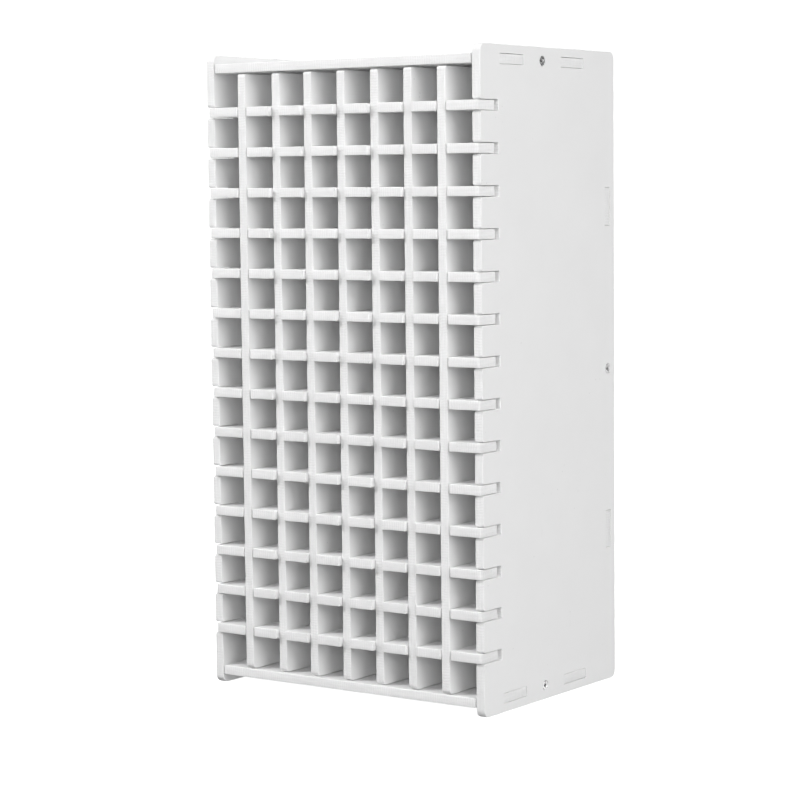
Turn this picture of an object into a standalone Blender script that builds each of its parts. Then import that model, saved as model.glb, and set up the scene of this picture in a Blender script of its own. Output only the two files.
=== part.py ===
"""A slotted bench rack: 8 x 15 open square cells, cut from flat foam board.

The rack is an egg-crate. Seven upright dividers and fourteen shelves are half-lapped,
the shelves' ears hang in slots in the front edges of two side panels, and a top board,
a bottom board and a back panel pass their tabs through mortises in the side panels,
where countersunk screws hold them.

Metres, +Z up. X runs across the rack, Y from its front (-) to its rear (+).
The origin is at the middle of the base, on the surface that the rack stands on.
"""

import math

import bmesh
import bpy
from mathutils import Matrix, Vector

# Driving dimensions
WIDTH = 0.176  # outer face to outer face of the side panels
PANEL_DEPTH = 0.130  # front to rear of the side panels
HEIGHT = 0.340
BOARD = 0.005  # thickness of every board
COLUMNS = 8
ROWS = 15
GAP = 0.0003  # clearance between two pieces that touch
SLOT_PLAY = 0.0003  # on each side of a board in a slot

# Side panels
BORDER = 0.0048  # what the side panels stand past the top, bottom and back boards
SHELF_PROUD = 0.0015  # shelf fronts stand out this far in front of the panels
CORNER_RADIUS = 0.004
SLOT_DEPTH = 0.0164  # slots in the panels' front edges, for the shelves' ears
MOUTH_RADIUS = 0.0014  # rounding where a slot opens to an edge

# Shelves
SHELF_PITCH = 0.02145
EAR_DEPTH = 0.0154
EAR_INSET = 0.0014  # ear end to the panel's outer face, with the shelf centred
GRID_SHIFT = 0.0006  # the loose grid sits this far to the right of centre
TOOTH_RADIUS = 0.0010
SHELF_SLOT_DEPTH = 0.0615  # slots open to the front, for the dividers

# Dividers
DIVIDER_DEPTH = 0.1185
DIVIDER_SOLID = 0.0585  # unslotted front part
DIVIDER_TOP_RADIUS = 0.0012
DIVIDER_FOOT_RADIUS = 0.0025
DIVIDER_TOP_GAP = 0.0009  # to the top board
# How far each divider stops behind the shelf fronts: they are pushed in by hand
DIVIDER_SETBACKS = (0.0007, 0.0026, 0.0022, 0.0025, 0.0026, 0.0018, 0.0009)

# Tabs and screws
TAB_LENGTH = 0.0220  # top and bottom boards
BACK_TAB_LENGTH = 0.0200
TAB_INSET = 0.0002  # tab ends stop just inside the panels' outer faces
TAB_SPREAD = 0.0293  # top and bottom boards: tab centre to screw
BACK_TAB_SPREAD = 0.0873
SCREW_Y = -0.0062  # line of the screws in the top and bottom boards
SCREW_HEAD_DIAMETER = 0.0047
SCREW_CORE_DIAMETER = 0.0020
SCREW_LENGTH = 0.0160
SCREW_SUNK = 0.0002
HEAD_DEPTH = 0.0016
POINT_LENGTH = 0.0026
RECESS_WIDTH = 0.0008
RECESS_SPAN = 0.0027
RECESS_DEPTH = 0.0010
SCREW_SEGMENTS = 20

ARC_STEPS = 4  # straight pieces in each rounded corner

# Places that follow from them
HALF_WIDTH = WIDTH / 2
INNER_X = HALF_WIDTH - BOARD  # inner faces of the side panels
FRONT_Y = -(PANEL_DEPTH + SHELF_PROUD) / 2  # shelf fronts
REAR_Y = -FRONT_Y  # rear edges of the side panels
PANEL_FRONT_Y = FRONT_Y + SHELF_PROUD
BACK_Y = REAR_Y - BORDER - BOARD / 2  # middle of the back panel's thickness
INSIDE_REAR_Y = BACK_Y - BOARD / 2 - GAP
TOP_Z = HEIGHT - BORDER - BOARD / 2  # middle of the top board
BOTTOM_Z = BORDER + BOARD / 2
CELL_WIDTH = (2 * INNER_X - (COLUMNS - 1) * BOARD) / COLUMNS
FIRST_DIVIDER_X = -INNER_X + CELL_WIDTH + BOARD / 2 + GRID_SHIFT
DIVIDER_XS = [FIRST_DIVIDER_X + i * (CELL_WIDTH + BOARD) for i in range(COLUMNS - 1)]
SHELF_ZS = [HEIGHT / 2 + (i - (ROWS - 2) / 2) * SHELF_PITCH for i in range(ROWS - 1)]
SLOT_HALF = BOARD / 2 + SLOT_PLAY


def clear_scene():
    for obj in list(bpy.data.objects):
        bpy.data.objects.remove(obj, do_unlink=True)


def make_material(name, colour, roughness, metallic=0.0):
    material = bpy.data.materials.new(name)
    material.use_nodes = True
    shader = material.node_tree.nodes["Principled BSDF"]
    shader.inputs["Base Color"].default_value = (*colour, 1.0)
    shader.inputs["Roughness"].default_value = roughness
    shader.inputs["Metallic"].default_value = metallic
    return material


def link_object(name, bm, material=None):
    """A scene object from a bmesh, with its faces turned outwards."""
    bmesh.ops.recalc_face_normals(bm, faces=bm.faces)
    mesh = bpy.data.meshes.new(name)
    bm.to_mesh(mesh)
    bm.free()
    obj = bpy.data.objects.new(name, mesh)
    bpy.context.scene.collection.objects.link(obj)
    if material:
        mesh.materials.append(material)
    return obj


def rounded_outline(corners):
    """The points of a closed outline given as (u, v, radius) corners, each one rounded by an arc."""
    points = []
    for i, (u, v, radius) in enumerate(corners):
        corner = Vector((u, v))
        before = Vector(corners[i - 1][:2]) - corner
        after = Vector(corners[(i + 1) % len(corners)][:2]) - corner
        if radius == 0:
            points.append(corner)
            continue
        before.normalize()
        after.normalize()
        half_angle = before.angle(after) / 2
        centre = corner + (before + after).normalized() * radius / math.sin(half_angle)
        start = corner + before * radius / math.tan(half_angle) - centre
        end = corner + after * radius / math.tan(half_angle) - centre
        turn = start.angle_signed(end)
        for step in range(ARC_STEPS + 1):
            points.append(centre + Matrix.Rotation(-turn * step / ARC_STEPS, 2) @ start)
    return points


def make_board(name, corners, place, material):
    """A flat board: the outline is extruded by the thickness, and place puts (u, v, w) in the rack."""
    bm = bmesh.new()
    vertices = [bm.verts.new(place(u, v, -BOARD / 2)) for u, v in rounded_outline(corners)]
    face = bm.faces.new(vertices)
    sweep = place(0, 0, BOARD / 2) - place(0, 0, -BOARD / 2)
    extruded = bmesh.ops.extrude_face_region(bm, geom=[face], use_keep_orig=True)
    moved = [item for item in extruded["geom"] if isinstance(item, bmesh.types.BMVert)]
    bmesh.ops.translate(bm, verts=moved, vec=sweep)
    return link_object(name, bm, material)


def upright_at(x):
    """Places an outline in Y and Z, on an upright board whose middle is at x."""
    return lambda u, v, w: Vector((x + w, u, v))


def level_at(z):
    """Places an outline in X and Y, on a level board whose middle is at z."""
    return lambda u, v, w: Vector((u, v, z + w))


def facing_at(y):
    """Places an outline in X and Z, on a board that faces the front with its middle at y."""
    return lambda u, v, w: Vector((u, y + w, v))


def cut(obj, cutter):
    """Takes the cutter's solid out of the object. The cutter stays in the scene as a guide."""
    cutter.hide_render = True
    cutter.display_type = "WIRE"
    modifier = obj.modifiers.new(cutter.name, "BOOLEAN")
    modifier.operation = "DIFFERENCE"
    modifier.solver = "EXACT"
    modifier.object = cutter


def make_box(name, low, high):
    bm = bmesh.new()
    size = Vector(high) - Vector(low)
    middle = (Vector(high) + Vector(low)) / 2
    bmesh.ops.create_cube(bm, size=1.0, matrix=Matrix.Translation(middle) @ Matrix.Diagonal((*size, 1)))
    return link_object(name, bm)


def make_turned(name, profile, side, x, y, z, material=None):
    """A solid turned about X. The profile is (depth inwards, radius) from end to end, on the axis at both."""
    bm = bmesh.new()
    vertices = [bm.verts.new((depth, radius, 0)) for depth, radius in profile]
    edges = [bm.edges.new(pair) for pair in zip(vertices, vertices[1:])]
    bmesh.ops.spin(
        bm,
        geom=vertices + edges,
        cent=(0, 0, 0),
        axis=(1, 0, 0),
        angle=2 * math.pi,
        steps=SCREW_SEGMENTS,
        use_merge=True,
        use_duplicate=False,
    )
    bmesh.ops.remove_doubles(bm, verts=bm.verts, dist=1e-6)
    bmesh.ops.transform(bm, matrix=Matrix.Diagonal((-side, 1, 1, 1)), verts=bm.verts)
    bmesh.ops.translate(bm, verts=bm.verts, vec=(x, y, z))
    return link_object(name, bm, material)


# Where the tabs and screws are, as (y, z) on a side panel
SCREW_PLACES = {
    "top": (SCREW_Y, TOP_Z),
    "bottom": (SCREW_Y, BOTTOM_Z),
    "back": (BACK_Y, HEIGHT / 2),
}


def mortise_boxes():
    """The (y, z) ranges of the six mortises in a side panel."""
    half = TAB_LENGTH / 2 + SLOT_PLAY
    back_half = BACK_TAB_LENGTH / 2 + SLOT_PLAY
    for z in (BOTTOM_Z, TOP_Z):
        for sign in (-1, 1):
            y = SCREW_Y + sign * TAB_SPREAD
            yield (y - half, y + half), (z - SLOT_HALF, z + SLOT_HALF)
    for sign in (-1, 1):
        z = HEIGHT / 2 + sign * BACK_TAB_SPREAD
        yield (BACK_Y - SLOT_HALF, BACK_Y + SLOT_HALF), (z - back_half, z + back_half)


def side_panel_corners():
    """The panel from its rear edge round to the front, which has a slot for each shelf."""
    corners = [
        (REAR_Y, 0, CORNER_RADIUS),
        (REAR_Y, HEIGHT, CORNER_RADIUS),
        (PANEL_FRONT_Y, HEIGHT, CORNER_RADIUS),
    ]
    slot_end_y = PANEL_FRONT_Y + SLOT_DEPTH
    for z in reversed(SHELF_ZS):
        corners += [
            (PANEL_FRONT_Y, z + SLOT_HALF, MOUTH_RADIUS),
            (slot_end_y, z + SLOT_HALF, 0),
            (slot_end_y, z - SLOT_HALF, 0),
            (PANEL_FRONT_Y, z - SLOT_HALF, MOUTH_RADIUS),
        ]
    corners.append((PANEL_FRONT_Y, 0, CORNER_RADIUS))
    return corners


def make_side_panel(name, side, material):
    x = side * (HALF_WIDTH - BOARD / 2)
    panel = make_board(name, side_panel_corners(), upright_at(x), material)
    for number, ((y0, y1), (z0, z1)) in enumerate(mortise_boxes(), 1):
        low = (x - BOARD, y0, z0)
        high = (x + BOARD, y1, z1)
        cut(panel, make_box(f"{name}_mortise_cutter_{number}", low, high))
    for board, (y, z) in SCREW_PLACES.items():
        cut(panel, make_screw_cutter(f"{name}_{board}_hole_cutter", side, y, z))


def make_screw_cutter(name, side, y, z):
    """A countersunk clearance hole through a side panel."""
    head = SCREW_HEAD_DIAMETER / 2 + GAP
    core = SCREW_CORE_DIAMETER / 2 + GAP
    outside = -BOARD
    profile = [
        (outside, 0),
        (outside, head),
        (SCREW_SUNK + GAP / 2, head),
        (SCREW_SUNK + HEAD_DEPTH + GAP, core),
        (2 * BOARD, core),
        (2 * BOARD, 0),
    ]
    return make_turned(name, profile, side, side * HALF_WIDTH, y, z)


def make_pilot_cutter(name, side, y, z):
    """A pilot hole in a board's end, for the screw's core."""
    core = SCREW_CORE_DIAMETER / 2 + GAP
    bottom = SCREW_SUNK + SCREW_LENGTH + GAP
    profile = [(0, 0), (0, core), (bottom, core), (bottom, 0)]
    return make_turned(name, profile, side, side * HALF_WIDTH, y, z)


def cut_pilot_holes(board, key):
    y, z = SCREW_PLACES[key]
    for word, side in (("left", -1), ("right", 1)):
        cut(board, make_pilot_cutter(f"{key}_{word}_pilot_cutter", side, y, z))


def tabbed_board_corners(low, high, low_radius, tab_middle, tab_spread, tab_length):
    """A board between the side panels, from low to high, with two tabs through each of them."""
    edge = INNER_X - GAP
    reach = HALF_WIDTH - TAB_INSET
    right = [(edge, low, low_radius)]
    for centre in (tab_middle - tab_spread, tab_middle + tab_spread):
        right += [
            (edge, centre - tab_length / 2, 0),
            (reach, centre - tab_length / 2, 0),
            (reach, centre + tab_length / 2, 0),
            (edge, centre + tab_length / 2, 0),
        ]
    right.append((edge, high, 0))
    left = [(-across, along, radius) for across, along, radius in reversed(right)]
    return right + left


def make_level_board(key, z, material):
    """The top or the bottom board, its front level with the panels' front edges."""
    corners = tabbed_board_corners(
        PANEL_FRONT_Y, INSIDE_REAR_Y, TOOTH_RADIUS, SCREW_Y, TAB_SPREAD, TAB_LENGTH
    )
    board = make_board(f"{key}_board", corners, level_at(z), material)
    cut_pilot_holes(board, key)


def make_back_panel(material):
    """The back, which closes the cells and covers the rear edges of the top and bottom boards."""
    corners = tabbed_board_corners(
        BORDER, HEIGHT - BORDER, 0, HEIGHT / 2, BACK_TAB_SPREAD, BACK_TAB_LENGTH
    )
    board = make_board("back_panel", corners, facing_at(BACK_Y), material)
    cut_pilot_holes(board, "back")


def shelf_corners():
    """A shelf: ears at both ends, and a slot open to the front for each divider."""
    body = INNER_X - GAP
    left_end = -(HALF_WIDTH - EAR_INSET) + GRID_SHIFT
    right_end = HALF_WIDTH - EAR_INSET + GRID_SHIFT
    ear_y = FRONT_Y + EAR_DEPTH
    slot_y = FRONT_Y + SHELF_SLOT_DEPTH
    corners = [(left_end, FRONT_Y, MOUTH_RADIUS)]
    for x in DIVIDER_XS:
        corners += [
            (x - SLOT_HALF, FRONT_Y, TOOTH_RADIUS),
            (x - SLOT_HALF, slot_y, 0),
            (x + SLOT_HALF, slot_y, 0),
            (x + SLOT_HALF, FRONT_Y, TOOTH_RADIUS),
        ]
    corners += [
        (right_end, FRONT_Y, MOUTH_RADIUS),
        (right_end, ear_y, 0),
        (body, ear_y, 0),
        (body, INSIDE_REAR_Y, 0),
        (-body, INSIDE_REAR_Y, 0),
        (-body, ear_y, 0),
        (left_end, ear_y, 0),
    ]
    return corners


def divider_corners(setback):
    """An upright divider: its front edge is unbroken, and slots open to the rear lap over the shelves."""
    front_y = FRONT_Y + setback
    rear_y = front_y + DIVIDER_DEPTH
    slot_y = front_y + DIVIDER_SOLID
    low_z = BOTTOM_Z + BOARD / 2 + GAP
    high_z = TOP_Z - BOARD / 2 - DIVIDER_TOP_GAP
    corners = [
        (front_y, high_z, DIVIDER_TOP_RADIUS),
        (front_y, low_z, DIVIDER_FOOT_RADIUS),
        (rear_y, low_z, 0),
    ]
    for z in SHELF_ZS:
        corners += [
            (rear_y, z - SLOT_HALF, 0),
            (slot_y, z - SLOT_HALF, 0),
            (slot_y, z + SLOT_HALF, 0),
            (rear_y, z + SLOT_HALF, 0),
        ]
    corners.append((rear_y, high_z, 0))
    return corners


def make_screw(board, word, side, material):
    """A countersunk screw, its head just below the panel's outer face, with a cross recess."""
    y, z = SCREW_PLACES[board]
    name = f"{board}_screw_{word}"
    head = SCREW_HEAD_DIAMETER / 2
    core = SCREW_CORE_DIAMETER / 2
    end = SCREW_SUNK + SCREW_LENGTH
    profile = [
        (SCREW_SUNK, 0),
        (SCREW_SUNK, head),
        (SCREW_SUNK + HEAD_DEPTH, core),
        (end - POINT_LENGTH, core),
        (end, 0),
    ]
    screw = make_turned(name, profile, side, side * HALF_WIDTH, y, z, material)
    outer_x = side * HALF_WIDTH
    floor_x = side * (HALF_WIDTH - SCREW_SUNK - RECESS_DEPTH)
    x0, x1 = sorted((outer_x, floor_x))
    for arm, (half_y, half_z) in enumerate(((RECESS_SPAN, RECESS_WIDTH), (RECESS_WIDTH, RECESS_SPAN)), 1):
        low = (x0, y - half_y / 2, z - half_z / 2)
        high = (x1, y + half_y / 2, z + half_z / 2)
        cut(screw, make_box(f"{name}_recess_cutter_{arm}", low, high))
    screw.data.shade_smooth()
    screw.data.set_sharp_from_angle(angle=math.radians(30))


def main():
    clear_scene()
    faced_board = make_material("faced foam board", (0.83, 0.83, 0.83), 0.45)
    cut_board = make_material("cut foam board", (0.86, 0.86, 0.85), 0.6)
    steel = make_material("zinc plated steel", (0.55, 0.56, 0.57), 0.35, 1.0)

    make_side_panel("left_side_panel", -1, faced_board)
    make_side_panel("right_side_panel", 1, faced_board)
    make_level_board("top", TOP_Z, faced_board)
    make_level_board("bottom", BOTTOM_Z, faced_board)
    make_back_panel(faced_board)
    for number, z in enumerate(SHELF_ZS, 1):
        make_board(f"shelf_{number:02d}", shelf_corners(), level_at(z), cut_board)
    for number, (x, setback) in enumerate(zip(DIVIDER_XS, DIVIDER_SETBACKS), 1):
        make_board(f"divider_{number}", divider_corners(setback), upright_at(x), cut_board)
    for board in SCREW_PLACES:
        for word, side in (("left", -1), ("right", 1)):
            make_screw(board, word, side, steel)


main()
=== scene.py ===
"""The finished look of a slotted bench rack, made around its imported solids.

Every board is cut from flat foam board: its outline is a closed path, and a thickness profile with
softened arrises is carried along it. The screws are turned surfaces with a thread and a cross recess.
Metres, +Z up, with the rack's front towards -Y.
"""

import math

import bpy
import numpy as np
from bpy.props import FloatProperty, FloatVectorProperty, IntProperty, PointerProperty
from mathutils import Matrix, Vector
from mathutils.geometry import tessellate_polygon


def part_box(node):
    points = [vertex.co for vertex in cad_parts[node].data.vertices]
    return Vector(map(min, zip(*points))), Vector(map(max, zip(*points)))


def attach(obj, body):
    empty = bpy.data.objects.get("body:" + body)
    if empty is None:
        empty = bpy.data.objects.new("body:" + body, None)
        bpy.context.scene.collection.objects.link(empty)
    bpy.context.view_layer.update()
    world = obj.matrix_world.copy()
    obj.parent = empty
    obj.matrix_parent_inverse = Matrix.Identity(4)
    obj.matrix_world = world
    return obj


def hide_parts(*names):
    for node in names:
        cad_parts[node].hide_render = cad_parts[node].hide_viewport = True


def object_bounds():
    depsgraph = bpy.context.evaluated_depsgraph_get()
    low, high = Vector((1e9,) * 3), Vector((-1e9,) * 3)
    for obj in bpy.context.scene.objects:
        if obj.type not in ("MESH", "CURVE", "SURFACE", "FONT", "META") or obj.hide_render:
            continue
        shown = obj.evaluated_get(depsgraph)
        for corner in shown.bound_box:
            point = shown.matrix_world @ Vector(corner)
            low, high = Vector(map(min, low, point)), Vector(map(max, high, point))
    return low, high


bl_info = {
    "name": "Slotted Bench Rack",
    "version": (1, 0, 0),
    "blender": (4, 5, 0),
    "location": "3D View > Sidebar > Rack",
    "description": "Finishes the boards and screws of a slotted bench rack and sets up its stage",
    "category": "Object",
}

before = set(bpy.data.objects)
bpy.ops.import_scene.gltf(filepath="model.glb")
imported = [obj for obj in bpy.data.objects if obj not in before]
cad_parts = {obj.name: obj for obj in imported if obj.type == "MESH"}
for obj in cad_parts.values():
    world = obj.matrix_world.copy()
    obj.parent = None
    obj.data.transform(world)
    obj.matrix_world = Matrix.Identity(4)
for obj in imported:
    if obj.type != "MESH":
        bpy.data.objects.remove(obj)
cad_low, cad_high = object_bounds()

BODY = "root"
SHELVES = sorted(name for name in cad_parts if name.startswith("shelf_"))
DIVIDERS = sorted(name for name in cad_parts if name.startswith("divider_"))
SCREWED_BOARDS = ("top", "bottom", "back")
SIDES = (("left", -1), ("right", 1))

# What each group of pieces adds to the seed of its random draws, before a piece's own number
PANEL_DRAWS, END_BOARD_DRAWS, BACK_DRAWS = 1, 10, 20
SHELF_DRAWS, DIVIDER_DRAWS, SCREW_DRAWS = 100, 200, 300

# How a board's own directions (along, up, through) lie on X, Y and Z
UPRIGHT = (1, 2, 0)  # outline in Y and Z, thickness in X
LEVEL = (0, 1, 2)  # outline in X and Y, thickness in Z
FACING = (2, 0, 1)  # outline in Z and X, thickness in Y

MILLIMETRES = 1000.0  # tessellate_polygon merges points that are near in its own units
# Turns, in radians, that an outline is given while it is divided into triangles
SLANTS = (0.35, 0.17, 0.55, 0.08, 0.71, 0.26, 0.44, 0.62, 0.0)
QUARTER_STEPS = 4  # stations across each softened arris
ARC_STEPS = 7  # stations round each corner of an outline
HOLE_STEPS = 48  # stations round a screw hole
CORNER_SHARE = 0.85  # share of a corner's room that an arris may take
LEAST_ARRIS = 0.0001  # no arris near a corner is made smaller than this by its room
FRONT_ZONE = 0.020  # how far back the outlines are finely divided
FINE_SPACING = 0.0004  # longest stretch of an outline in the front zone
COARSE_SPACING = 0.0030  # longest stretch elsewhere
BOARD_CREASE = math.radians(50)  # edges sharper than this stay crisp
SCREW_CREASE = math.radians(40)

SCREW_STEPS = 96  # stations round a screw
RECESS_RINGS = 25  # rings from the middle of a screw's head to just past its recess
RECESS_MARGIN = 1.1  # how far those rings reach, as a share of the recess
EDGE_RINGS = 6  # rings in the outer part of the head
EDGE_START = 0.72  # where that outer part starts, as a share of the head's radius
RINGS_PER_TURN = 10  # rings along the shank for one turn of the thread
RIDGE_STEEPNESS = 2.6  # how fast the thread's ridge falls off on each side of its crest
POINT_SHAPE = 0.8  # power that rounds the screw's point
RECESS_END_SLOPE = 2.2  # how much gentler the recess's ends are than its walls

# Sizes in metres of the patterns in the finishes
SKIN_CLOUDS, SKIN_PEEL, SKIN_GRAIN, SKIN_SCUFFS = 0.030, 0.0017, 0.00035, 0.0011
WORN_AREAS, SPECK_SPACING = 0.045, 0.0062
FOAM_BURSTS, FOAM_GRAIN, FOAM_PULL = 0.0016, 0.00022, 0.00110
MARK_SHIFT, MARK_PATCHES = 0.0060, 0.013
PLATE_PATCHES, PLATE_GRAIN, PLATE_SCRATCHES = 0.0012, 0.00012, 0.00016
FLOOR_MOTTLE, FLOOR_GRAIN = 0.020, 0.004

# Height in metres that a full step of each finish's relief stands for
SKIN_RELIEF, FOAM_RELIEF, PLATE_RELIEF, FLOOR_RELIEF = 0.000045, 0.00010, 0.000012, 0.00002

# The lights: name, place, and length of each side
LIGHTS = (
    ("key", (-1.02, -1.075, 1.354), 0.18),
    ("fill", (1.65, -0.58, 0.84), 1.4),
    ("front", (0.60, -1.37, 0.56), 0.8),
    ("rear", (-0.80, 1.60, 0.85), 1.4),
)
FLOOR_POINTS = 9  # points along each side of the floor's grid
FLOOR_NEAR, FLOOR_FAR = 0.4, 2.5  # between these distances the floor turns to its own light
FLOOR_FAR_GLOW = 0.97  # the floor's own light beyond that
HORIZON_BLEND = 0.1  # height either side of the horizon over which the room's brightness changes
DOME_TURNS, DOME_RISES = 48, 20  # points round the backdrop and up it
DOME_LOW, DOME_HIGH = -0.15, math.pi / 2 * 0.98  # height angles of the backdrop's edge and top
DOME_SHARE = 0.99  # the backdrop's radius as a share of the floor's half width


def length(name, description, default):
    """A size in metres that a user may change."""
    return FloatProperty(
        name=name, description=description, default=default, min=0.0, precision=5, unit="LENGTH"
    )


def share(name, description, default):
    """A number from 0 to 1 that a user may change."""
    return FloatProperty(
        name=name, description=description, default=default, min=0.0, max=1.0, subtype="FACTOR"
    )


def angle(name, description, default):
    """An angle in degrees here, kept in radians, that a user may change."""
    return FloatProperty(
        name=name, description=description, default=math.radians(default), unit="ROTATION"
    )


def colour(name, description, default):
    """A linear colour that a user may change."""
    return FloatVectorProperty(
        name=name, description=description, default=default, min=0.0, max=1.0, subtype="COLOR"
    )


def power(name, description, default):
    """A light's power in watts, or a brightness, that a user may change."""
    return FloatProperty(name=name, description=description, default=default, min=0.0)


class RackJoinery(bpy.types.PropertyGroup):
    """How the boards are notched, tabbed and rounded."""

    slot_play: length("Slot play", "Clearance on each side of a board in its slot", 0.0003)
    divider_play: length("Divider play", "Clearance on the right of a divider in a shelf's slot", 0.0011)
    tab_play: length("Tab play", "Clearance round a tab in its mortise", 0.00016)
    gap: length("Gap", "Clearance between a side panel and the board ends against it", 0.0008)
    inner_radius: length("Inner radius", "Rounding that the cutter leaves in inner corners", 0.0004)
    panel_radius: length("Panel corners", "Rounding of the side panels' corners", 0.0040)
    panel_slot_depth: length("Panel slots", "Depth of the side panels' front slots", 0.0164)
    mouth_radius: length("Slot mouths", "Rounding of the panels' slot mouths and the shelves' ears", 0.0014)
    ear_depth: length("Ear depth", "Depth of the shelves' ears", 0.0154)
    shelf_slot_depth: length("Shelf slots", "Depth of the slots in the shelves", 0.0615)
    tooth_radius: length("Teeth", "Rounding of the shelves' teeth and the end boards' fronts", 0.0004)
    divider_solid: length("Divider front", "Unslotted front part of a divider", 0.0585)
    divider_top_radius: length("Divider tops", "Rounding of the dividers' top corners", 0.0012)
    divider_foot_radius: length("Divider feet", "Rounding of the dividers' foot corners", 0.0025)
    tab_length: length("Tabs", "Length of the top and bottom boards' tabs", 0.0220)
    tab_spread: length("Tab spread", "Screw to tab middle on the top and bottom boards", 0.0293)
    back_tab_length: length("Back tabs", "Length of the back panel's tabs", 0.0200)
    back_tab_spread: length("Back tab spread", "Screw to tab middle on the back panel", 0.0873)


class RackCutting(bpy.types.PropertyGroup):
    """What the cutter and the sanding block leave on the boards' edges."""

    arris: length("Arris", "Radius of the softened arrises round a board's outline", 0.00036)
    tight_arris: length("Tight arris", "Radius of the arrises round mortises", 0.00016)
    chatter_pitch: length("Chatter pitch", "Distance between the cutter's marks along an edge", 0.00145)
    chatter: share("Chatter", "How much the cutter's marks vary the arrises", 0.45)
    drift: length("Drift", "How far an edge wanders inwards from its line", 0.00008)
    drift_pitch: length("Drift pitch", "Distance over which an edge wanders", 0.0190)
    seed: IntProperty(name="Seed", description="Start of the random draws", default=11)


class RackScrews(bpy.types.PropertyGroup):
    """The countersunk screws that hold the side panels."""

    head_depth: length("Head depth", "Depth of the countersunk cone", 0.0016)
    rim: length("Rim", "Straight rim above the cone", 0.00018)
    core: length("Core", "Radius of the core under the thread", 0.00100)
    thread_height: length("Thread height", "How far the thread stands off the core", 0.00042)
    thread_pitch: length("Thread pitch", "Advance of the thread for one turn", 0.00110)
    point: length("Point", "Length of the tapered point", 0.0030)
    recess_width: length("Recess width", "Width of the cross recess's arms", 0.00078)
    recess_span: length("Recess span", "End to end of the cross recess", 0.0027)
    recess_depth: length("Recess depth", "Depth of the cross recess at its middle", 0.0011)
    hole_play: length("Hole play", "Clearance between a screw and its hole", 0.0003)


class RackFinish(bpy.types.PropertyGroup):
    """Colours and surface of the foam board and the screws."""

    skin_light: colour("Skin, light", "Lighter tone of the board's skin", (0.900, 0.900, 0.900))
    skin_dark: colour("Skin, dark", "Darker tone of the board's skin", (0.862, 0.862, 0.862))
    core_light: colour("Core, light", "Lighter tone of the cut foam", (0.930, 0.930, 0.930))
    # The dark core colour is painted shade: it darkens the foam's open cells, the pits that the relief also
    # sinks.
    core_pit_shade: colour("Core, dark", "Tone in the foam's open cells", (0.66, 0.66, 0.66))
    core_worn: colour("Core, worn", "Tone of the cutter's marks in the foam", (0.740, 0.740, 0.740))
    dust: colour("Dust", "Specks and scuffs on the skin", (0.56, 0.56, 0.57))
    skin_roughness: share("Skin roughness", "Roughness of the board's skin", 0.50)
    core_roughness: share("Core roughness", "Roughness of the cut foam", 0.74)
    cell_size: length("Cells", "Size of the foam's cells", 0.00042)
    steel_light: colour("Steel, light", "Zinc plate where it is bright", (0.74, 0.74, 0.74))
    steel_dark: colour("Steel, dark", "Zinc plate where it is dull", (0.27, 0.27, 0.27))
    # The recess colour is partly dirt and partly painted shade in the screws' cross recesses.
    recess_grime_and_shade: colour("Grime", "What gathers in the cross recess", (0.07, 0.07, 0.07))
    steel_roughness: share("Steel roughness", "Roughness of the plated steel", 0.28)


class RackStage(bpy.types.PropertyGroup):
    """Floor, lights and camera."""

    floor_size: length("Floor", "Half width of the floor", 9.0)
    floor_tone: colour("Floor tone", "Colour of the floor", (0.93, 0.93, 0.935))
    floor_glow: power("Floor glow", "Light that the pale floor gives by itself", 0.86)
    sky_above: power("Sky above", "Brightness of the room above the horizon", 0.22)
    sky_below: power("Sky below", "Brightness of the room below the horizon", 0.21)
    key_power: power("Key light", "Power of the light at the upper left", 21.8)
    fill_power: power("Fill light", "Power of the large light at the right", 24.0)
    front_power: power("Front light", "Power of the soft light in front", 4.9)
    rear_power: power("Rear light", "Power of the large light behind", 13.0)
    azimuth: angle("Azimuth", "How far the camera stands round to the right", 35.471)
    elevation: angle("Elevation", "How far the camera looks down", 4.991)
    roll: angle("Roll", "How far the camera is tilted sideways", -0.575)
    distance: length("Distance", "Camera to the point that it looks at", 1.35114)
    aim_right: FloatProperty(name="Aim X", description="Point looked at", default=-0.00517)
    aim_back: FloatProperty(name="Aim Y", description="Point looked at", default=-0.00468)
    aim_up: FloatProperty(name="Aim Z", description="Point looked at", default=0.15372)
    lens: FloatProperty(name="Lens", description="Focal length", default=112.10, unit="CAMERA")


# Sizes and places read from the frame


def middle(node, axis):
    """Middle of a node's box along one axis."""
    low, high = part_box(node)
    return (low[axis] + high[axis]) / 2


def span(node, axis):
    """Lowest and highest coordinate of a node along one axis."""
    low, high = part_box(node)
    return low[axis], high[axis]


def board_thickness():
    """Thickness of the sheet that every board is cut from."""
    low, high = span(SHELVES[0], 2)
    return high - low


def screw_place(board):
    """Y and Z of the screws in the top, bottom or back board."""
    node = f"{board}_screw_right"
    return middle(node, 1), middle(node, 2)


# Outlines


def notches(places, half, mouth, floor, mouth_radius, floor_radius):
    """Corners (place, reach, radius) of a row of notches: each runs from its mouth in to its floor, across
    it and out again. A negative half takes each notch from its higher side to its lower one."""
    along = places[:, None] + np.array([-half, -half, half, half])
    reach = np.broadcast_to([mouth, floor, floor, mouth], along.shape)
    radius = np.broadcast_to([mouth_radius, floor_radius, floor_radius, mouth_radius], along.shape)
    return np.stack([along, reach, radius], axis=-1).reshape(-1, 3)


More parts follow.
